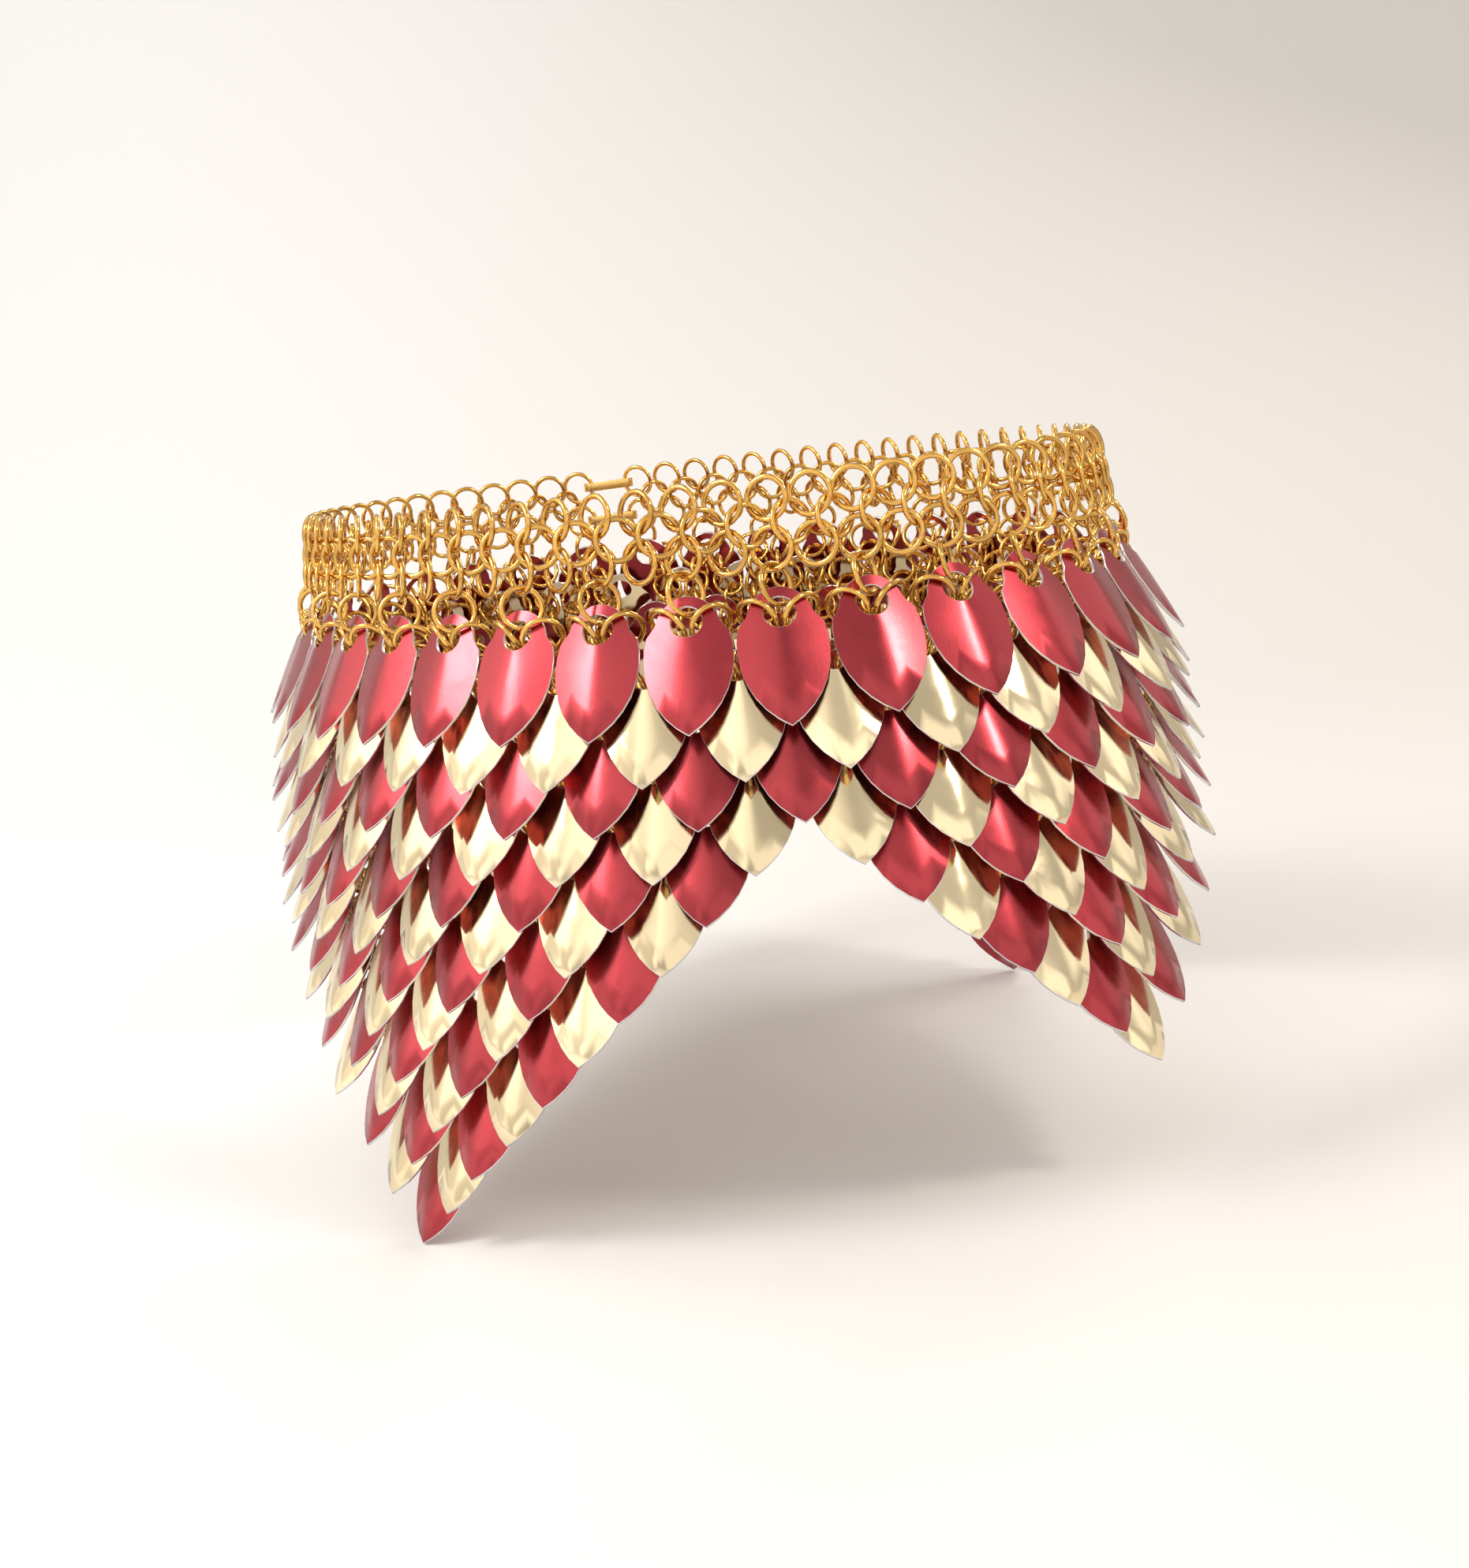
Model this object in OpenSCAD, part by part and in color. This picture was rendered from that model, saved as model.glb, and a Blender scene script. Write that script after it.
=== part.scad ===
// Scale mail hip armour: a belt of linked rings that carries a curtain of folded leaf-shaped scales.
// The origin is the centre of the loop at half the belt's height, the wearer's front is -Y, and Z is up.

/* [Curtain] */
// Number of scales round the top row
columns = 34; // [30:4:38]
// Width of a scale
scale_width = 22.4; // [21:0.1:24]
// Gap between two scales of one row
scale_gap = 0.65; // [0.5:0.05:0.9]
// Depth of the loop as a share of its width
loop_ratio = 0.842; // [0.78:0.002:0.9]
// Rows that run all the way round
full_rows = 4; // [3:1:4]
// Row of the single scale at the front and back points
front_tip_row = 13; // [11:2:15]
// Row of the single scale at the points over the hips
hip_tip_row = 10; // [8:2:12]
// How far a scale leans outward at its tip, in degrees
scale_tilt = 28.5; // [27:0.5:30]
// How far the lower rows stand out beyond the top row
flare = 6; // [5:0.5:6.5]

/* [Scale] */
// Length of a scale
scale_length = 35.8; // [33:0.1:40]
// Thickness of the sheet
scale_thickness = 0.8; // [0.6:0.05:0.85]
// Angle by which each half is folded back from the centre ridge
fold = 13; // [10:0.5:14]
// Diameter of the hole
hole_d = 7.9; // [7.8:0.05:8.2]
// Distance from the top edge down to the hole's centre
hole_down = 6.75; // [6.4:0.05:7]
// Radius of the rounded top
cap_r = 8.2; // [8:0.05:8.6]
// Distance from the hole's centre down to the widest line
widest_down = 9; // [8:0.1:10]

/* [Rings] */
// Wire of the rings
ring_wire = 1.4; // [1.2:0.05:1.45]

/* [Clasps] */
// Height of a clasp's cast body
clasp_height = 3; // [2.8:0.1:3.4]
// Metal round a clasp's eye and hook
clasp_wall = 1.3; // [1.1:0.05:1.5]
// Clearance between a clasp and the belt ring that it holds
clasp_play = 0.9; // [0.8:0.05:1]
// Thickness of the lever that closes a clasp
lever_thickness = 1; // [0.8:0.05:1.1]
// Width of the lever's bar
lever_bar = 1.2; // [1:0.05:1.3]
// Diameter of the lever's pin
pin_d = 0.9; // [0.8:0.05:1]
// Clearance round the lever and its pin
lever_play = 0.15; // [0.1:0.01:0.2]
// Wire of the lever's spring
spring_wire = 0.25; // [0.2:0.01:0.3]

/* [Hidden] */
row_names = [for (row = [2:front_tip_row - 1]) str("scale_row_", two_digits(row))];
top_names = [for (index = [1:columns]) str("top_scale_", two_digits(index))];

red = [0.74, 0.16, 0.2];
champagne = [0.86, 0.79, 0.66];
gold = [0.83, 0.6, 0.22];
brass = [0.72, 0.55, 0.24];

// Rings: two stand on each column of the belt, so their bore follows the pitch of the scales.
column_pitch = scale_width + scale_gap;
ring_bore = 0.39 * column_pitch;
ring_r = (ring_bore + ring_wire) / 2;

// The loop is an ellipse through the belt's middle row, and the pitch is measured on a curve outside it.
pitch_out = 8;
loop_girth = columns * column_pitch - 2 * PI * pitch_out;
loop_shape = 3 * (1 + loop_ratio) - sqrt((3 + loop_ratio) * (1 + 3 * loop_ratio));
loop_x = loop_girth / (PI * loop_shape);
loop_y = loop_x * loop_ratio;

// Belt: three rows, linked four in one, all leaned so that the lower edge stands out.
belt_lean = 8;
belt_step = 1.155 * ring_r;
belt_yaw = 26;

// A drop ring hangs from the lower belt ring above each top scale, and passes through that scale's hole.
drop_down = 2.8 * ring_r;
drop_out = 0.5 * ring_r;
drop_lean = -13.5;
drop_yaw = 48;

// Scales: the first row hangs on the drop rings, and each later row sits half a column over.
first_hole_down = 4 * ring_r;
first_hole_out = 1.25 * ring_r;
row_step = 2.21 * ring_r;
tip_down = scale_length - hole_down;
leaf_drop = tip_down - widest_down;
leaf_r = (pow(leaf_drop, 2) + pow(scale_width / 2, 2)) / scale_width;

// Scale rings: one on each shoulder, through the hole and round the scale's edge.
shoulder_x = 1.03 * ring_r;
shoulder_out = -0.69 * ring_r;
shoulder_z = -0.27 * ring_r;
shoulder_lean = 27;
shoulder_yaw = 36;

// Link rings: behind the scales, each joins a scale's ring to the ring of the next row below it.
link_x = -0.375 * ring_r;
link_out = -0.98 * ring_r;
link_z = -0.375 * ring_r;
link_lean = -3.5;
link_yaw = 113;

// The belt opens between two columns at the back left, over the gap between two points.
front_col = 0;
side_col = columns / 4;
back_col = columns / 2;
cols_behind_side = 4;
open_from = columns - floor(side_col) - cols_behind_side;
open_to = open_from + 1;
slit_col = open_from + 0.25;

// Clasp: it lies flat, with its eye on one belt ring and its hook round the next.
clasp_bore = ring_wire + 2 * clasp_play;
clasp_half = clasp_bore / 2 + clasp_wall;
knuckle_r = pin_d / 2 + lever_play + 0.7;
pin_x = clasp_bore / 2 + 0.6 + knuckle_r;
pin_y = knuckle_r - clasp_half;
gate_from = pin_x + knuckle_r + lever_play;
spring_height = 2 * spring_wire;
slot_height = lever_thickness + spring_height + 3 * lever_play;
lever_z = slot_height / 2 - lever_play - lever_thickness;
spring_z = lever_play - slot_height / 2;

$fn = 32;

function two_digits(number) = number < 10 ? str("0", number) : str(number);

// Angle round the loop, from the front toward +X, for a length of the pitch curve.
function loop_point(angle, out) =
    let (across = [loop_y * sin(angle), -loop_x * cos(angle)])
    [loop_x * sin(angle), -loop_y * cos(angle)] + out * across / norm(across);
arc_steps = 720;
arc_angles = [for (step = [0:arc_steps]) step * 360 / arc_steps];
arc_points = [for (angle = arc_angles) loop_point(angle, pitch_out)];
arc_lengths = [
    for (step = 0, length = 0; step <= arc_steps;
        length = length + (step < arc_steps ? norm(arc_points[step + 1] - arc_points[step]) : 0),
        step = step + 1)
    length
];
arc_table = [for (step = [0:arc_steps]) [arc_lengths[step], arc_angles[step]]];
function col_angle(col) =
    lookup((col / columns - floor(col / columns)) * arc_lengths[arc_steps], arc_table);
function col_heading(col) =
    atan2(loop_y * sin(col_angle(col)), loop_x * cos(col_angle(col)));

// Puts a shape on the loop: its X runs along the loop, its -Y outward and its Z up.
module at(col, out, z) {
    spot = loop_point(col_angle(col), out);
    translate([spot.x, spot.y, z]) rotate([0, 0, col_heading(col)]) children();
}

// A closed wire ring that faces outward, leaned with its top outward and turned about the vertical.
module ring(lean, yaw) {
    rotate([0, 0, yaw]) rotate([lean, 0, 0]) rotate([90, 0, 0])
        rotate_extrude($fn = 20) translate([ring_r, 0]) circle(d = ring_wire, $fn = 13);
}

// Rows and columns of the curtain
function row_shift(row) = row % 2 == 1 ? 0 : 0.5;
function away(col, point_col) =
    min(abs(col - point_col), columns - abs(col - point_col));
function in_point(row, col, point_col, tip_row) =
    away(col, point_col) <= (tip_row - row) / 2;
function has_scale(row, col) =
    row >= 1 && (row <= full_rows
        || in_point(row, col, front_col, front_tip_row)
        || in_point(row, col, back_col, front_tip_row)
        || in_point(row, col, side_col, hip_tip_row)
        || in_point(row, col, columns - side_col, hip_tip_row));
function row_cols(row) =
    [for (index = [0:columns - 1]) let (col = index + row_shift(row)) if (has_scale(row, col)) col];
function is_tip(row, col) =
    row == front_tip_row || (row == hip_tip_row && (away(col, side_col) < 0.1
        || away(col, columns - side_col) < 0.1));
function hole_out(row) = first_hole_out + flare * (1 - exp(-(row - 1) / 3));
function hole_z(row) = -first_hole_down - row_step * (row - 1);
function same_col(first, second) = away(first, second) < 0.01;

// Scale: its hole's centre is the origin, it hangs down -Z, and the ridge faces -Y.
module leaf_outline() {
    intersection() {
        translate([scale_width / 2 - leaf_r, -widest_down]) circle(r = leaf_r, $fn = 96);
        translate([leaf_r - scale_width / 2, -widest_down]) circle(r = leaf_r, $fn = 96);
        union() {
            translate([0, hole_down - cap_r]) circle(r = cap_r, $fn = 64);
            translate([-scale_width, hole_down - cap_r - scale_length]) square([2 * scale_width, scale_length]);
        }
    }
}
module folded_sheet() {
    half = scale_thickness / 2 / cos(fold);
    rise = scale_width * tan(fold);
    translate([0, 0, -scale_length]) linear_extrude(2 * scale_length) polygon([
        [0, -half],
        [scale_width, rise - half],
        [scale_width, rise + half],
        [0, half],
        [-scale_width, rise + half],
        [-scale_width, rise - half]
    ]);
}
module scale_blank() {
    depth = scale_width * tan(fold);
    difference() {
        intersection() {
            folded_sheet();
            rotate([90, 0, 0]) linear_extrude(2 * depth, center = true) leaf_outline();
        }
        rotate([90, 0, 0]) cylinder(d = hole_d, h = 2 * depth, center = true);
    }
}
module hung_scale(row, col) {
    color(row % 2 == 1 ? red : champagne)
        at(col, hole_out(row), hole_z(row)) rotate([-scale_tilt, 0, 0]) scale_blank();
}

// Belt and drop rings
module belt_ring(level, col) {
    offset = level * belt_step;
    at(col, -offset * sin(belt_lean), offset * cos(belt_lean))
        ring(-belt_lean, level == 0 ? belt_yaw : -belt_yaw);
}
module belt_rings() {
    color(gold) for (index = [0:2 * columns - 1]) {
        edge_col = index / 2;
        middle_col = edge_col + 0.25;
        if (edge_col < open_from + 0.1 || edge_col > open_to - 0.1) {
            belt_ring(1, edge_col);
            belt_ring(-1, edge_col);
        }
        if (middle_col < open_from || middle_col > open_to) belt_ring(0, middle_col);
    }
}
module drop_rings() {
    color(gold) for (col = [0:columns - 1]) at(col, drop_out, -drop_down) ring(drop_lean, drop_yaw);
}

// Rings on the scales' shoulders, and the rings behind that link one row to the next
module shoulder_rings(side) {
    color(gold) for (row = [1:front_tip_row], col = row_cols(row)) {
        if (!same_col(col + side / 4, slit_col))
            at(col, hole_out(row) + shoulder_out, hole_z(row) + shoulder_z)
                translate([side * shoulder_x, 0, 0]) ring(shoulder_lean, side * shoulder_yaw);
    }
}
module link_rings(side) {
    color(gold) for (row = [1:front_tip_row - 1], col = row_cols(row)) {
        lower_col = (col + side / 2 + columns) % columns;
        if (has_scale(row + 1, lower_col) && !same_col(col + side / 4, slit_col))
            at(col + side / 4, (hole_out(row) + hole_out(row + 1)) / 2 + link_out, hole_z(row + 0.5) + link_z)
                translate([side * link_x, 0, 0]) ring(link_lean, -side * link_yaw);
    }
}
module right_shoulder_rings() {
    shoulder_rings(1);
}
module left_shoulder_rings() {
    shoulder_rings(-1);
}
module right_link_rings() {
    link_rings(1);
}
module left_link_rings() {
    link_rings(-1);
}

// Scales that swing one by one, and the rows that lie under one another
module top_scale(index) {
    hung_scale(1, index - 1);
}
module scale_row(row) {
    for (col = row_cols(row)) if (!is_tip(row, col)) hung_scale(row, col);
}
module front_tip_scale() {
    hung_scale(front_tip_row, front_col);
}
module back_tip_scale() {
    hung_scale(front_tip_row, back_col);
}
module right_tip_scale() {
    hung_scale(hip_tip_row, side_col);
}
module left_tip_scale() {
    hung_scale(hip_tip_row, columns - side_col);
}

// Clasps: a cast body with a hook, a lever that closes it, the lever's pin and the spring round the pin
function belt_spot(level, col) =
    let (spot = loop_point(col_angle(col), -level * belt_step * sin(belt_lean)))
    [spot.x, spot.y, level * belt_step * cos(belt_lean)];
function belt_side(level, col, side) =
    belt_spot(level, col) + side * ring_r * [
        cos(col_heading(col) - belt_yaw),
        sin(col_heading(col) - belt_yaw),
        0
    ];
function clasp_run(level) = belt_side(level, open_to, -1) - belt_side(level, open_from, 1);
function clasp_reach(level) = norm(clasp_run(level));
function gate_to(level) = clasp_reach(level) - clasp_bore / 4;
module at_clasp(level) {
    run = clasp_run(level);
    translate(belt_side(level, open_from, 1)) rotate([0, 0, atan2(run.y, run.x)]) children();
}
module bar(from, to, radius) {
    translate([from, 0]) circle(r = radius);
    translate([to, 0]) circle(r = radius);
    translate([from, -radius]) square([to - from, 2 * radius]);
}
module clasp_profile(reach, gate_end) {
    difference() {
        bar(0, reach, clasp_half);
        circle(d = clasp_bore);
        bar(gate_from + clasp_bore / 2, reach, clasp_bore / 2);
        translate([gate_from, -2 * clasp_half]) square([gate_end - gate_from, 2 * clasp_half]);
    }
}
module clasp_body(level) {
    slot_from = pin_x - knuckle_r - lever_play;
    slot_to = pin_y + knuckle_r + lever_play;
    at_clasp(level) difference() {
        linear_extrude(clasp_height, center = true) clasp_profile(clasp_reach(level), gate_to(level));
        translate([slot_from, -2 * clasp_half, -slot_height / 2])
            cube([gate_from - slot_from + clasp_wall, 2 * clasp_half + slot_to, slot_height]);
        translate([pin_x, pin_y, 0]) cylinder(d = pin_d, h = 2 * clasp_height, center = true);
    }
}
module clasp_lever(level) {
    bar_end = gate_to(level) - 2 * lever_play;
    color(brass) at_clasp(level) translate([0, 0, lever_z]) linear_extrude(lever_thickness) difference() {
        union() {
            translate([pin_x, pin_y]) circle(r = knuckle_r);
            translate([pin_x, -clasp_half]) square([bar_end - pin_x, lever_bar]);
            translate([pin_x - knuckle_r, pin_y - knuckle_r - lever_bar])
                square([lever_bar, knuckle_r + lever_bar]);
        }
        translate([pin_x, pin_y]) circle(d = pin_d + 2 * lever_play);
    }
}
module clasp_bodies() {
    color(brass) for (level = [-1, 1]) clasp_body(level);
}
module clasp_pins() {
    color("silver") for (level = [-1, 1])
        at_clasp(level) translate([pin_x, pin_y, 0]) cylinder(d = pin_d, h = clasp_height, center = true);
}
module clasp_springs() {
    bore = pin_d + 2 * lever_play;
    color("silver") for (level = [-1, 1]) at_clasp(level) translate([pin_x, pin_y, spring_z]) difference() {
        cylinder(d = bore + 2 * spring_wire, h = spring_height);
        cylinder(d = bore, h = 3 * spring_height, center = true);
    }
}
module upper_clasp_lever() {
    clasp_lever(1);
}
module lower_clasp_lever() {
    clasp_lever(-1);
}

belt_rings();
drop_rings();
right_shoulder_rings();
left_shoulder_rings();
right_link_rings();
left_link_rings();
for (index = [1:columns]) top_scale(index);
for (row = [2:front_tip_row - 1]) scale_row(row);
front_tip_scale();
right_tip_scale();
back_tip_scale();
left_tip_scale();
clasp_bodies();
clasp_pins();
clasp_springs();
upper_clasp_lever();
lower_clasp_lever();
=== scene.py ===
import bpy
import math
import random
from mathutils import Matrix, Vector


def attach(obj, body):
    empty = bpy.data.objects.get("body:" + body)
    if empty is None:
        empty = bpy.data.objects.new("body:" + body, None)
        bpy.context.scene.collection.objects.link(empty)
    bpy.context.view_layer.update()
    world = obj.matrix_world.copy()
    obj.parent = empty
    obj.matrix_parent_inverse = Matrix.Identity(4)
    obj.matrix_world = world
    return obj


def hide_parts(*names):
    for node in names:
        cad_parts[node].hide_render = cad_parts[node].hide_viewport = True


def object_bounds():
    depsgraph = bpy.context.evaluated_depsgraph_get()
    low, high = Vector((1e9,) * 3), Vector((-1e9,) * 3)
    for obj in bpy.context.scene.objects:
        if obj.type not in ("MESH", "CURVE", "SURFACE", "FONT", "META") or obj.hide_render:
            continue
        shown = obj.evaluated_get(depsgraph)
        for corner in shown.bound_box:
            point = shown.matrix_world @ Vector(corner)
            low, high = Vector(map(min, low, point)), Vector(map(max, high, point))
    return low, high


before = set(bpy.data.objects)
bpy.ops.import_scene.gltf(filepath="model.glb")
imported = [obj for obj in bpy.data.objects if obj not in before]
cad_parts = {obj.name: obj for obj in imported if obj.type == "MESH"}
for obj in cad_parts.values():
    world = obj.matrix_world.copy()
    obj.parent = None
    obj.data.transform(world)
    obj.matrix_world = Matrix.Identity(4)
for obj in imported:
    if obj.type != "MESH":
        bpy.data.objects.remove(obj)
cadLow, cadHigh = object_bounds()
random.seed(7)
mm = 0.001
print("frame loaded with", len(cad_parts), "nodes")

# Layout of the curtain, the same driving sizes as the CAD source, in millimetres and degrees
curtain = {
    "columns": 34,
    "scaleWidth": 22.4,
    "scaleGap": 0.65,
    "loopRatio": 0.842,
    "pitchOut": 8,  # the column pitch is measured this far outside the loop
    "fullRows": 4,
    "frontTipRow": 13,
    "hipTipRow": 10,
    "tilt": 28.5,
    "flare": 6,  # the lowest rows hang up to this much further out than the first
    "flareRows": 3,  # most of it within this many rows
    "openFrom": 22,  # the belt is parted between these two columns
    "openTo": 23,
    "slit": 22.25,  # column where the curtain is parted
}
columnPitch = curtain["scaleWidth"] + curtain["scaleGap"]
wire = 1.4
ringBore = 0.39 * columnPitch
ringRadius = (ringBore + wire) / 2
firstHoleDown = 4 * ringRadius
firstHoleOut = 1.25 * ringRadius
rowStep = 2.21 * ringRadius

# Half widths of the oval loop, from its girth
ratio = curtain["loopRatio"]
girth = curtain["columns"] * columnPitch - 2 * math.pi * curtain["pitchOut"]
loopShape = 3 * (1 + ratio) - math.sqrt((3 + ratio) * (1 + 3 * ratio))
loopX = girth / (math.pi * loopShape)
loopY = loopX * ratio


def loopPoint(angle, out):
    across = Vector((loopY * math.sin(angle), -loopX * math.cos(angle))).normalized()
    return Vector((loopX * math.sin(angle), -loopY * math.cos(angle))) + across * out


def measureLoop(steps=720):
    angles = [2 * math.pi * step / steps for step in range(steps + 1)]
    spots = [loopPoint(angle, curtain["pitchOut"]) for angle in angles]
    lengths = [0.0]
    for before, after in zip(spots, spots[1:]):
        lengths.append(lengths[-1] + (after - before).length)
    return angles, lengths


loopAngles, loopLengths = measureLoop()


def columnAngle(column):
    wanted = (column / curtain["columns"]) % 1 * loopLengths[-1]
    step = next(i for i, length in enumerate(loopLengths[1:], 1) if length >= wanted)
    share = (wanted - loopLengths[step - 1]) / (loopLengths[step] - loopLengths[step - 1])
    return loopAngles[step - 1] + share * (loopAngles[step] - loopAngles[step - 1])


# A place beside the loop, with X along it, -Y outward and Z up
def onLoop(column, out, height):
    angle = columnAngle(column)
    spot = loopPoint(angle, out)
    heading = math.atan2(loopY * math.sin(angle), loopX * math.cos(angle))
    return Matrix.Translation((spot.x, spot.y, height)) @ Matrix.Rotation(heading, 4, "Z")


def turned(degrees, axis):
    return Matrix.Rotation(math.radians(degrees), 4, axis)


def holeOut(row):
    return firstHoleOut + curtain["flare"] * (1 - math.exp(-(row - 1) / curtain["flareRows"]))


def holeHeight(row):
    return -firstHoleDown - rowStep * (row - 1)


def columnsApart(first, second):
    gap = abs(first - second)
    return min(gap, curtain["columns"] - gap)


# Row and column of the lowest scale in each of the four points
quarter = curtain["columns"] / 4
tips = {
    "front": (curtain["frontTipRow"], 0),
    "right": (curtain["hipTipRow"], quarter),
    "back": (curtain["frontTipRow"], 2 * quarter),
    "left": (curtain["hipTipRow"], 3 * quarter),
}


def hasScale(row, column):
    inPoint = [columnsApart(column, middle) <= (tipRow - row) / 2 for tipRow, middle in tips.values()]
    return row <= curtain["fullRows"] or any(inPoint)


def rowColumns(row):
    shift = 0 if row % 2 else 0.5
    return [index + shift for index in range(curtain["columns"]) if hasScale(row, index + shift)]


def atSlit(column):
    return columnsApart(column, curtain["slit"]) == 0


def atOpening(column):
    return curtain["openFrom"] < column < curtain["openTo"]


# Tools
sharpAngle = math.radians(50)  # sharper edges are bevelled
smoothAngle = math.radians(40)  # blunter edges are shaded smooth


def activate(piece):
    bpy.ops.object.select_all(action="DESELECT")
    piece.select_set(True)
    bpy.context.view_layer.objects.active = piece


def applyModifier(piece, kind, **settings):
    activate(piece)
    modifier = piece.modifiers.new(kind.title(), kind)
    for name, value in settings.items():
        setattr(modifier, name, value)
    bpy.ops.object.modifier_apply(modifier=modifier.name)


def tidyNormals(piece):
    activate(piece)
    bpy.ops.object.mode_set(mode="EDIT")
    bpy.ops.mesh.select_all(action="SELECT")
    bpy.ops.mesh.normals_make_consistent(inside=False)
    bpy.ops.object.mode_set(mode="OBJECT")


# A copy with its own mesh, moved in millimetres
def placeCopy(model, place):
    copy = model.copy()
    copy.data = model.data.copy()
    bpy.context.scene.collection.objects.link(copy)
    copy.data.transform(Matrix.Scale(mm, 4) @ place @ Matrix.Scale(1 / mm, 4))
    return copy


# Copies joined into the one piece that takes a CAD node's place
def joined(copies, name, node, body):
    activate(copies[0])
    for copy in copies:
        copy.select_set(True)
    if len(copies) > 1:
        bpy.ops.object.join()
    piece = bpy.context.object
    piece.name = name
    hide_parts(node)
    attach(piece, body)
    return piece


# Materials
def addNode(tree, kind, spot, settings=(), inputs=()):
    node = tree.nodes.new(kind)
    node.location = spot
    for name, value in dict(settings).items():
        setattr(node, name, value)
    for name, value in dict(inputs).items():
        node.inputs[name].default_value = value
    return node


# Wear that the metals share: tone from copy to copy, finger marks, and grain with its depth in millimetres
wear = {
    "darkest": 0.86,
    "lightest": 1.12,
    "markScale": 110,
    "markDetail": 4,
    "markRoughness": 0.6,
    "markFrom": 0.45,
    "markTo": 0.75,
    "markDulling": 0.09,
    "grainScale": 2600,
    "grainDetail": 2,
    "grainStretch": 0.06,
    "grainDepth": 0.02,
    "grainStrength": 0.6,
}


def metalWearGroup():
    group = bpy.data.node_groups.new("metalWear", "ShaderNodeTree")
    sockets = {"INPUT": ("Colour", "Roughness", "Grain"), "OUTPUT": ("Colour", "Roughness", "Height")}
    for side, names in sockets.items():
        for name in names:
            kind = "NodeSocketColor" if name == "Colour" else "NodeSocketFloat"
            group.interface.new_socket(name, in_out=side, socket_type=kind)
    link = group.links.new
    given = addNode(group, "NodeGroupInput", (-1200, 200))
    result = addNode(group, "NodeGroupOutput", (300, 0))
    place = addNode(group, "ShaderNodeTexCoord", (-1400, -200))

    # Each copy is a little lighter or darker than the next
    tone = addNode(group, "ShaderNodeAttribute", (-1200, 0), {"attribute_name": "tone"})
    shade = addNode(group, "ShaderNodeMapRange", (-900, 100), inputs={
        "From Min": -1, "From Max": 1, "To Min": wear["darkest"], "To Max": wear["lightest"],
    })
    link(tone.outputs["Fac"], shade.inputs["Value"])
    tint = addNode(group, "ShaderNodeHueSaturation", (-600, 200))
    link(given.outputs["Colour"], tint.inputs["Color"])
    link(shade.outputs["Result"], tint.inputs["Value"])
    link(tint.outputs["Color"], result.inputs["Colour"])

    # Finger marks dull the gloss in patches
    marks = addNode(group, "ShaderNodeTexNoise", (-1200, -300), inputs={
        "Scale": wear["markScale"], "Detail": wear["markDetail"], "Roughness": wear["markRoughness"],
    })
    link(place.outputs["Object"], marks.inputs["Vector"])
    patches = addNode(group, "ShaderNodeMapRange", (-900, -300), inputs={
        "From Min": wear["markFrom"], "From Max": wear["markTo"], "To Max": wear["markDulling"],
    })
    link(marks.outputs["Fac"], patches.inputs["Value"])
    gloss = addNode(group, "ShaderNodeMath", (-300, -200), {"operation": "ADD"})
    link(given.outputs["Roughness"], gloss.inputs[0])
    link(patches.outputs["Result"], gloss.inputs[1])
    link(gloss.outputs["Value"], result.inputs["Roughness"])

    # The rolled sheet has a fine grain that runs down it
    stretch = addNode(group, "ShaderNodeMapping", (-1200, -600), inputs={
        "Scale": (1, 1, wear["grainStretch"]),
    })
    link(place.outputs["Object"], stretch.inputs["Vector"])
    grain = addNode(group, "ShaderNodeTexNoise", (-900, -600), inputs={
        "Scale": wear["grainScale"], "Detail": wear["grainDetail"],
    })
    link(stretch.outputs["Vector"], grain.inputs["Vector"])
    depth = addNode(group, "ShaderNodeMath", (-300, -500), {"operation": "MULTIPLY"})
    link(grain.outputs["Fac"], depth.inputs[0])
    link(given.outputs["Grain"], depth.inputs[1])
    link(depth.outputs["Value"], result.inputs["Height"])
    return group


metalWear = metalWearGroup()


def metal(name, colour, roughness, grain, coat=0, coatRoughness=0.2):
    material = bpy.data.materials.new(name)
    material.use_nodes = True
    tree = material.node_tree
    shader = tree.nodes["Principled BSDF"]
    shader.inputs["Metallic"].default_value = 1
    shader.inputs["Coat Weight"].default_value = coat
    shader.inputs["Coat Roughness"].default_value = coatRoughness
    worn = addNode(tree, "ShaderNodeGroup", (-500, 0), {"node_tree": metalWear}, {
        "Colour": (*colour, 1), "Roughness": roughness, "Grain": grain,
    })
    bump = addNode(tree, "ShaderNodeBump", (-250, -250), inputs={
        "Distance": wear["grainDepth"] * mm, "Strength": wear["grainStrength"],
    })
    tree.links.new(worn.outputs["Height"], bump.inputs["Height"])
    tree.links.new(worn.outputs["Colour"], shader.inputs["Base Color"])
    tree.links.new(worn.outputs["Roughness"], shader.inputs["Roughness"])
    tree.links.new(bump.outputs["Normal"], shader.inputs["Normal"])
    return material


redSheet = metal("redAnodised", (0.37, 0.036, 0.047), roughness=0.26, grain=1.0, coat=0.4)
champagneSheet = metal("champagneAnodised", (0.84, 0.71, 0.46), roughness=0.1, grain=0.3, coat=0.1)
bareEdge = metal("bareAluminium", (0.64, 0.64, 0.66), roughness=0.26, grain=1.0)
goldWire = metal("goldAnodised", (0.68, 0.395, 0.1), roughness=0.12, grain=0.3)
castBrass = metal("castBrass", (0.76, 0.52, 0.18), roughness=0.26, grain=1.0)
springSteel = metal("springSteel", (0.6, 0.6, 0.62), roughness=0.24, grain=0.6)
print("materials made")

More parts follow.
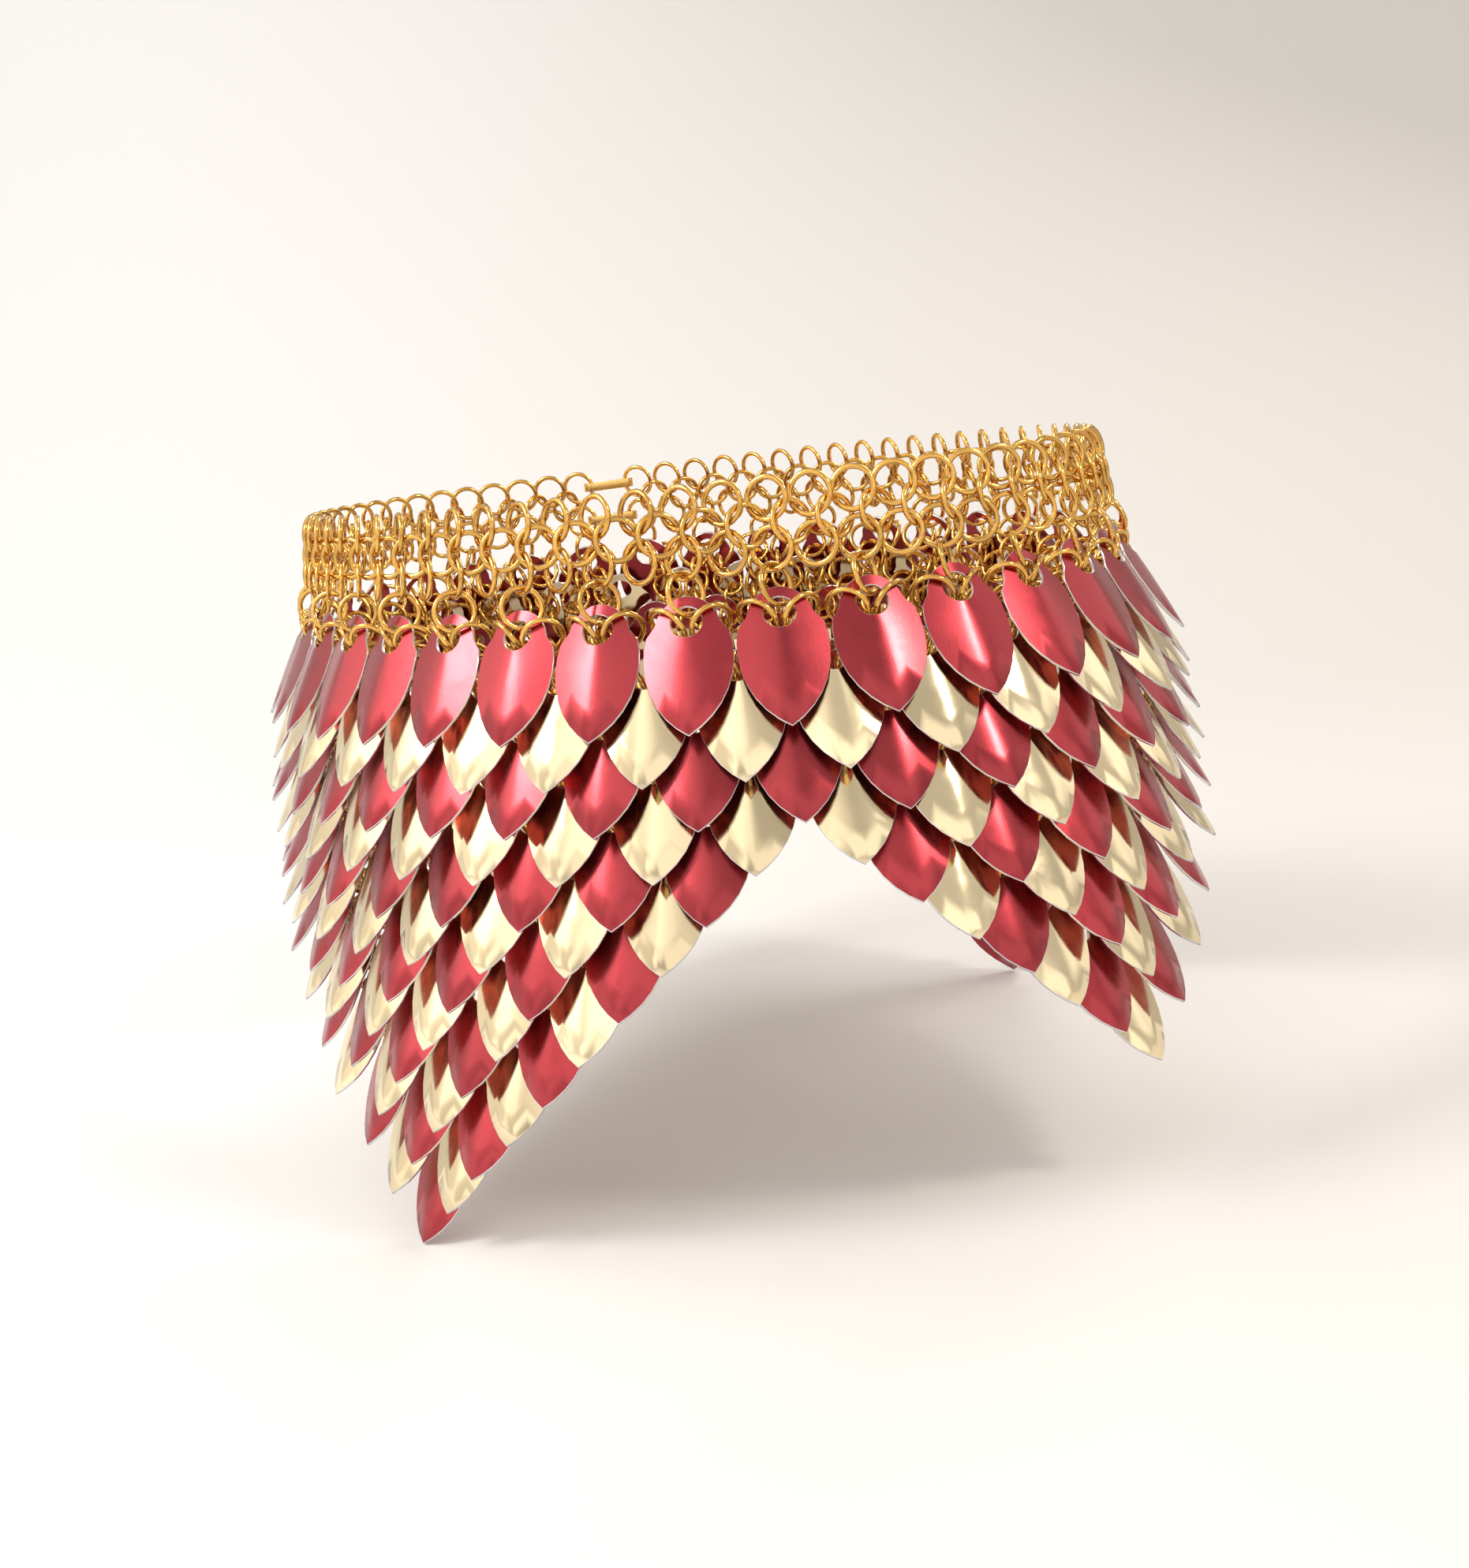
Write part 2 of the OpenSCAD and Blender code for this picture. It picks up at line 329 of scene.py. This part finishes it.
# Scales, in millimetres and degrees: the hole's centre is the origin, the leaf hangs down -Z and its
# ridge faces -Y
leaf = {
    "length": 35.8,
    "thickness": 0.8,
    "fold": 13,
    "ridgeRadius": 3,
    "holeRadius": 3.95,
    "holeDown": 6.75,
    "capRadius": 8.2,
    "widestDown": 9,
    "bow": 0.45,
    "edgeRadius": 0.15,
    "spokes": 28,  # points round the hole
    "bands": 3,  # rings of faces from the hole to the edge
    "tipCrowding": 0.5,  # draws the spokes together towards the tip
}


# Distance from the hole's centre to the leaf's edge; angle 0 points to the tip
def leafReach(angle):
    x, z = math.sin(angle), -math.cos(angle)
    half = curtain["scaleWidth"] / 2
    drop = leaf["length"] - leaf["holeDown"] - leaf["widestDown"]
    flank = (drop ** 2 + half ** 2) / (2 * half)
    capHeight = leaf["holeDown"] - leaf["capRadius"]

    def toCircle(centreX, centreZ, radius):
        along = x * centreX + z * centreZ
        return along + math.sqrt(along ** 2 - centreX ** 2 - centreZ ** 2 + radius ** 2)

    flanks = min(toCircle(side * (half - flank), -leaf["widestDown"], flank) for side in (-1, 1))
    cap = toCircle(0, capHeight, leaf["capRadius"])
    return min(flanks, cap) if cap * z > capHeight else flanks


# A point of the folded and bowed sheet, at a share of the way from the hole to the edge
def sheetPoint(turn, share):
    angle = turn - leaf["tipCrowding"] * math.sin(turn)
    distance = leaf["holeRadius"] + (leafReach(angle) - leaf["holeRadius"]) * share
    x, z = distance * math.sin(angle), -distance * math.cos(angle)
    ridge = leaf["ridgeRadius"]
    fall = math.tan(math.radians(leaf["fold"])) * (math.hypot(x, ridge) - ridge / 2)
    middle = leaf["holeDown"] - leaf["length"] / 2
    swell = leaf["bow"] * (((z - middle) / (leaf["length"] / 2)) ** 2 - 0.5)
    return Vector((x, fall + swell, z))


def modelScale():
    widen = 1.3  # each band is drawn out by this much, until its points are placed
    bpy.ops.object.select_all(action="DESELECT")
    bpy.ops.mesh.primitive_circle_add(vertices=leaf["spokes"], radius=1, rotation=(math.pi / 2, 0, 0))
    bpy.ops.object.transform_apply()
    piece = bpy.context.object
    bpy.ops.object.mode_set(mode="EDIT")
    bpy.ops.mesh.select_all(action="SELECT")
    for band in range(leaf["bands"]):
        bpy.ops.mesh.extrude_edges_move()
        bpy.ops.transform.resize(value=(widen, widen, widen), center_override=(0, 0, 0))
    bpy.ops.object.mode_set(mode="OBJECT")
    for vertex in piece.data.vertices:
        band = round(math.log(vertex.co.length, widen))
        turn = math.atan2(vertex.co.x, -vertex.co.z)
        vertex.co = sheetPoint(turn, band / leaf["bands"]) * mm
    piece.data.materials.append(redSheet)
    piece.data.materials.append(bareEdge)
    edge = leaf["edgeRadius"] * mm
    applyModifier(piece, "SOLIDIFY", thickness=leaf["thickness"] * mm, offset=0, material_offset_rim=1)
    applyModifier(piece, "BEVEL", width=edge, segments=1, material=1, angle_limit=sharpAngle)
    tidyNormals(piece)
    bpy.ops.object.shade_smooth_by_angle(angle=smoothAngle)
    return piece


scaleModel = modelScale()
print("scale modelled with", len(scaleModel.data.polygons), "faces")


def markTone(piece):
    tone = piece.data.attributes.new("tone", "FLOAT", "FACE")
    value = random.uniform(-1, 1)
    for face in tone.data:
        face.value = value


# The top scales, the tip scales and the two above each tip hang straighter, so that they can swing
def hangsCalmly(row, column):
    nearTip = [row >= tipRow - 1 and columnsApart(column, middle) < 1 for tipRow, middle in tips.values()]
    return row == 1 or any(nearTip)


# Random sway of a scale about each of its axes, in degrees, and the share of it that a calm one keeps
hang = {"sway": {"X": 1, "Y": 1, "Z": 2.2}, "calmShare": 0.3}


def hangScale(row, column):
    calm = hang["calmShare"] if hangsCalmly(row, column) else 1
    place = onLoop(column, holeOut(row), holeHeight(row)) @ turned(-curtain["tilt"], "X")
    for axis, degrees in hang["sway"].items():
        place = place @ turned(random.gauss(0, degrees * calm), axis)
    piece = placeCopy(scaleModel, place)
    piece.data.materials[0] = redSheet if row % 2 else champagneSheet
    markTone(piece)
    return piece


for column in rowColumns(1):
    number = "%02d" % (column + 1)
    node = "top_scale_" + number
    joined([hangScale(1, column)], "topScale" + number, node, node)
for row in range(2, curtain["frontTipRow"]):
    number = "%02d" % row
    columns = [column for column in rowColumns(row) if (row, column) not in tips.values()]
    hung = [hangScale(row, column) for column in columns]
    joined(hung, "scaleRow" + number, "scale_row_" + number, "belt_and_curtain")
for side, (tipRow, middle) in tips.items():
    node = side + "_tip_scale"
    joined([hangScale(tipRow, middle)], side + "TipScale", node, node)
bpy.data.objects.remove(scaleModel)
print("scales hung")

# Rings: each faces outward, is leaned and then turned; lengths in ring radii and angles in degrees
rings = {
    "segments": 20, "wireSegments": 6,
    "fullness": 1.06,  # the six-sided wire is a little thicker than the round one
    "beltLean": 8, "beltStep": 1.155, "beltYaw": 26,
    "dropDown": 2.8, "dropOut": 0.5, "dropLean": -13.5, "dropYaw": 48,
    "shoulderAside": 1.03, "shoulderOut": -0.69, "shoulderUp": -0.27, "shoulderLean": 27, "shoulderYaw": 36,
    "linkAside": -0.375, "linkOut": -0.98, "linkUp": -0.375, "linkLean": -3.5, "linkYaw": 113,
    "sway": 0.4,
}


def modelRing():
    bpy.ops.object.select_all(action="DESELECT")
    bpy.ops.mesh.primitive_torus_add(
        major_segments=rings["segments"], minor_segments=rings["wireSegments"],
        major_radius=ringRadius * mm, minor_radius=wire / 2 * mm * rings["fullness"],
        rotation=(math.pi / 2, 0, 0),
    )
    bpy.ops.object.transform_apply()
    piece = bpy.context.object
    piece.data.materials.append(goldWire)
    bpy.ops.object.shade_smooth()
    return piece


ringModel = modelRing()


def placeRing(place, lean, yaw, aside=0):
    lean += random.gauss(0, rings["sway"])
    spin = random.uniform(0, 360 / rings["segments"])
    place = place @ Matrix.Translation((aside, 0, 0)) @ turned(yaw, "Z") @ turned(lean, "X")
    piece = placeCopy(ringModel, place @ turned(spin, "Y"))
    markTone(piece)
    return piece


# Level 1 is the belt's upper row of rings, 0 the middle one and -1 the lower
def beltRing(level, column):
    step = level * rings["beltStep"] * ringRadius
    lean = math.radians(rings["beltLean"])
    place = onLoop(column, -step * math.sin(lean), step * math.cos(lean))
    return placeRing(place, -rings["beltLean"], -rings["beltYaw"] if level else rings["beltYaw"])


def beltRings():
    made = []
    for index in range(2 * curtain["columns"]):
        edge, middle = index / 2, index / 2 + 0.25
        if not atOpening(edge):
            made += [beltRing(1, edge), beltRing(-1, edge)]
        if not atOpening(middle):
            made.append(beltRing(0, middle))
    return made


def dropRings():
    out, down = rings["dropOut"] * ringRadius, rings["dropDown"] * ringRadius
    places = [onLoop(column, out, -down) for column in range(curtain["columns"])]
    return [placeRing(place, rings["dropLean"], rings["dropYaw"]) for place in places]


# Side 1 is the right one of the two rings in a scale's hole, seen from outside, and -1 the left
def shoulderRings(side):
    made = []
    yaw, aside = side * rings["shoulderYaw"], side * rings["shoulderAside"] * ringRadius
    for row in range(1, curtain["frontTipRow"] + 1):
        out = holeOut(row) + rings["shoulderOut"] * ringRadius
        height = holeHeight(row) + rings["shoulderUp"] * ringRadius
        for column in rowColumns(row):
            if not atSlit(column + side / 4):
                made.append(placeRing(onLoop(column, out, height), rings["shoulderLean"], yaw, aside))
    return made


# Link rings stand halfway between a scale and the one below it on the same side
def linkRings(side):
    made = []
    yaw, aside = -side * rings["linkYaw"], side * rings["linkAside"] * ringRadius
    for row in range(1, curtain["frontTipRow"]):
        out = (holeOut(row) + holeOut(row + 1)) / 2 + rings["linkOut"] * ringRadius
        height = holeHeight(row + 0.5) + rings["linkUp"] * ringRadius
        for column in rowColumns(row):
            below = (column + side / 2) % curtain["columns"]
            between = column + side / 4
            if hasScale(row + 1, below) and not atSlit(between):
                made.append(placeRing(onLoop(between, out, height), rings["linkLean"], yaw, aside))
    return made


joined(beltRings(), "beltRings", "belt_rings", "belt_and_curtain")
joined(dropRings(), "dropRings", "drop_rings", "belt_and_curtain")
for side, name in ((1, "right"), (-1, "left")):
    joined(shoulderRings(side), name + "ShoulderRings", name + "_shoulder_rings", "belt_and_curtain")
    joined(linkRings(side), name + "LinkRings", name + "_link_rings", "belt_and_curtain")
bpy.data.objects.remove(ringModel)
print("rings linked")

# Clasps: the CAD parts with their edges rounded, in millimetres and degrees
clasp = {
    "edgeRadius": 0.12,
    "edgeSegments": 2,
    "mergeWithin": 0.001,
    "flatWithin": 1,
}


def softenedCopy(node, name, body, material):
    piece = bpy.data.objects.new(name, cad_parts[node].data.copy())
    bpy.context.scene.collection.objects.link(piece)
    activate(piece)
    bpy.ops.mesh.customdata_custom_splitnormals_clear()
    bpy.ops.object.mode_set(mode="EDIT")
    bpy.ops.mesh.select_all(action="SELECT")
    bpy.ops.mesh.remove_doubles(threshold=clasp["mergeWithin"] * mm)
    bpy.ops.mesh.normals_make_consistent(inside=False)
    bpy.ops.mesh.dissolve_limited(angle_limit=math.radians(clasp["flatWithin"]))
    bpy.ops.object.mode_set(mode="OBJECT")
    piece.data.materials.clear()
    piece.data.materials.append(material)
    edge = clasp["edgeRadius"] * mm
    applyModifier(piece, "BEVEL", angle_limit=sharpAngle, width=edge, segments=clasp["edgeSegments"])
    bpy.ops.object.shade_smooth_by_angle(angle=smoothAngle)
    return joined([piece], name, node, body)


softenedCopy("clasp_bodies", "claspBodies", "belt_and_curtain", castBrass)
softenedCopy("clasp_pins", "claspPins", "belt_and_curtain", springSteel)
softenedCopy("clasp_springs", "claspSprings", "belt_and_curtain", springSteel)
softenedCopy("upper_clasp_lever", "upperClaspLever", "upper_clasp_lever", castBrass)
softenedCopy("lower_clasp_lever", "lowerClaspLever", "lower_clasp_lever", castBrass)
print("clasps finished")

# Camera, at the photograph's viewing angle, in millimetres and degrees
viewpoint = {
    "azimuth": 46.7, "pitch": -11.1, "roll": -6.9,
    "distance": 584, "aside": 2.9, "height": 29,
    "focalPixels": 2440, "longSidePixels": 1988,
    "sensor": 36, "nearest": 10,
}
azimuth, pitch, roll = (math.radians(viewpoint[name]) for name in ("azimuth", "pitch", "roll"))
toRight = Vector((math.cos(azimuth), math.sin(azimuth), 0))
away = Vector((-math.sin(azimuth), math.cos(azimuth), 0))
upward = Vector((0, 0, 1))


def placeCamera():
    spot = toRight * viewpoint["aside"] - away * viewpoint["distance"] + upward * viewpoint["height"]
    forward = away * math.cos(pitch) + upward * math.sin(pitch)
    top = upward * math.cos(pitch) - away * math.sin(pitch)
    pictureRight = toRight * math.cos(roll) + top * math.sin(roll)
    pictureTop = top * math.cos(roll) - toRight * math.sin(roll)
    facing = Matrix((pictureRight, pictureTop, -forward)).transposed().to_4x4()
    bpy.ops.object.camera_add()
    camera = bpy.context.object
    camera.matrix_world = Matrix.Translation(spot * mm) @ facing
    camera.data.sensor_width = viewpoint["sensor"]
    camera.data.lens = viewpoint["focalPixels"] / viewpoint["longSidePixels"] * viewpoint["sensor"]
    camera.data.clip_start = viewpoint["nearest"] * mm
    bpy.context.scene.camera = camera


placeCamera()

# Studio: a pale floor that curves up into a wall behind the object, in metres
sweep = {
    "halfWidth": 4, "ahead": 4, "behind": 1.8, "wall": 3.5,
    "curve": 1.2, "curveSegments": 16,
    "below": 0.0005,
    # the left and right colours are painted light and shade, lighter on the side the light comes from
    "left": (0.77, 0.785, 0.8), "right": (0.55, 0.54, 0.53), "roughness": 0.8,
    "fadeFrom": -0.7, "fadeTo": 0.7,
}


def modelBackdrop():
    bpy.ops.object.select_all(action="DESELECT")
    bpy.ops.mesh.primitive_plane_add(size=2)
    backdrop = bpy.context.object
    for vertex in backdrop.data.vertices:
        vertex.co.x *= sweep["halfWidth"]
        vertex.co.y *= sweep["behind"] if vertex.co.y > 0 else sweep["ahead"]
    far = [vertex.co.y > 0 for vertex in backdrop.data.vertices]
    bpy.ops.object.mode_set(mode="EDIT")
    bpy.ops.mesh.select_all(action="DESELECT")
    bpy.ops.object.mode_set(mode="OBJECT")
    for vertex, isFar in zip(backdrop.data.vertices, far):
        vertex.select = isFar
    for edge in backdrop.data.edges:
        edge.select = all(far[index] for index in edge.vertices)
    bpy.ops.object.mode_set(mode="EDIT")
    bpy.ops.mesh.select_mode(type="EDGE")
    bpy.ops.mesh.extrude_region_move(TRANSFORM_OT_translate={"value": (0, 0, sweep["wall"])})
    bpy.ops.object.mode_set(mode="OBJECT")
    segments = sweep["curveSegments"]
    applyModifier(backdrop, "BEVEL", width=sweep["curve"], segments=segments, angle_limit=sharpAngle)
    bpy.ops.object.shade_smooth()
    backdrop.name = "backdrop"
    floor = cadLow.z - sweep["below"]
    backdrop.matrix_world = Matrix.Translation((0, 0, floor)) @ Matrix.Rotation(azimuth, 4, "Z")
    return backdrop


# Nodes that fade from one colour to another between two limits of a value
def addFade(tree, value, limits, colours, target):
    share = addNode(tree, "ShaderNodeMapRange", (-500, 0), {"interpolation_type": "SMOOTHSTEP"}, {
        "From Min": limits[0], "From Max": limits[1],
    })
    mix = addNode(tree, "ShaderNodeMix", (-300, 0), {"data_type": "RGBA"}, {
        "A": (*colours[0], 1), "B": (*colours[1], 1),
    })
    tree.links.new(value, share.inputs["Value"])
    tree.links.new(share.outputs["Result"], mix.inputs["Factor"])
    tree.links.new(mix.outputs["Result"], target)


# The paint darkens from near white to a warm grey towards the right: painted shade, as if the light fell
# from the left
def paintWithPaintedShade():
    paint = bpy.data.materials.new("paintWithPaintedShade")
    paint.use_nodes = True
    tree = paint.node_tree
    shader = tree.nodes["Principled BSDF"]
    shader.inputs["Roughness"].default_value = sweep["roughness"]
    place = addNode(tree, "ShaderNodeTexCoord", (-900, 0))
    split = addNode(tree, "ShaderNodeSeparateXYZ", (-700, 0))
    tree.links.new(place.outputs["Object"], split.inputs["Vector"])
    limits, colours = (sweep["fadeFrom"], sweep["fadeTo"]), (sweep["left"], sweep["right"])
    addFade(tree, split.outputs["X"], limits, colours, shader.inputs["Base Color"])
    return paint


backdrop = modelBackdrop()
backdrop.data.materials.append(paintWithPaintedShade())

# Light from all round, brightest where it comes from the upper left
glow = {
    "left": (1.8, 1.66, 1.52), "right": (1.02, 0.96, 0.9),
    "up": 0.5, "leftward": 0.8, "away": 0.2,
    "fadeFrom": 0.2, "fadeTo": 1,
    "patchScale": 1.7, "patchDetail": 1, "patchFrom": 0.36, "patchTo": 0.64,
    "darkest": 0.62, "brightest": 1.32,
    "seen": 0.6,  # strength where the camera looks straight at it
}


def lightWorld():
    world = bpy.data.worlds.new("softLight")
    bpy.context.scene.world = world
    world.use_nodes = True
    tree = world.node_tree
    background = tree.nodes["Background"]
    direction = addNode(tree, "ShaderNodeTexCoord", (-900, 0))
    toLight = addNode(tree, "ShaderNodeVectorMath", (-700, 0), {"operation": "DOT_PRODUCT"})
    brightest = upward * glow["up"] - toRight * glow["leftward"] + away * glow["away"]
    toLight.inputs[1].default_value = brightest.normalized()
    tree.links.new(direction.outputs["Generated"], toLight.inputs[0])
    limits, colours = (glow["fadeFrom"], glow["fadeTo"]), (glow["right"], glow["left"])
    addFade(tree, toLight.outputs["Value"], limits, colours, background.inputs["Color"])

    # Soft light and dark patches that only the metal shows
    cloud = addNode(tree, "ShaderNodeTexNoise", (-700, -300), inputs={
        "Scale": glow["patchScale"], "Detail": glow["patchDetail"],
    })
    patches = addNode(tree, "ShaderNodeMapRange", (-500, -300), {"interpolation_type": "SMOOTHSTEP"}, {
        "From Min": glow["patchFrom"], "From Max": glow["patchTo"],
        "To Min": glow["darkest"], "To Max": glow["brightest"],
    })
    rays = addNode(tree, "ShaderNodeLightPath", (-700, -600))
    seen = addNode(tree, "ShaderNodeMix", (-300, -300), {"data_type": "FLOAT"}, {"B": glow["seen"]})
    tree.links.new(direction.outputs["Generated"], cloud.inputs["Vector"])
    tree.links.new(cloud.outputs["Fac"], patches.inputs["Value"])
    tree.links.new(rays.outputs["Is Camera Ray"], seen.inputs["Factor"])
    tree.links.new(patches.outputs["Result"], seen.inputs["A"])
    tree.links.new(seen.outputs["Result"], background.inputs["Strength"])


lightWorld()

# Softboxes, placed by the side they stand on and their height in degrees, and their distance in metres
softboxes = {
    "windowLeft": {
        "side": -66, "height": 41, "distance": 1.3,
        "size": 0.45, "power": 10, "colour": (1, 0.97, 0.93),
    },
    "lampRight": {
        "side": 50, "height": 37, "distance": 1.3,
        "size": 0.2, "power": 5.5, "colour": (1, 0.93, 0.84),
    },
    "backRight": {
        "side": 140, "height": 35, "distance": 1.5,
        "size": 0.6, "power": 6, "colour": (1, 0.9, 0.8),
    },
}


def addSoftbox(name, box):
    side, height = math.radians(box["side"]), math.radians(box["height"])
    level = toRight * math.sin(side) - away * math.cos(side)
    direction = level * math.cos(height) + upward * math.sin(height)
    bpy.ops.object.light_add(type="AREA", location=direction * box["distance"])
    lamp = bpy.context.object
    lamp.name = name
    lamp.data.size = box["size"]
    lamp.data.energy = box["power"]
    lamp.data.color = box["colour"]
    lamp.visible_camera = False
    lamp.rotation_euler = direction.to_track_quat("Z", "Y").to_euler()


for name, box in softboxes.items():
    addSoftbox(name, box)
bpy.context.scene.view_settings.view_transform = "Standard"
print("studio set")
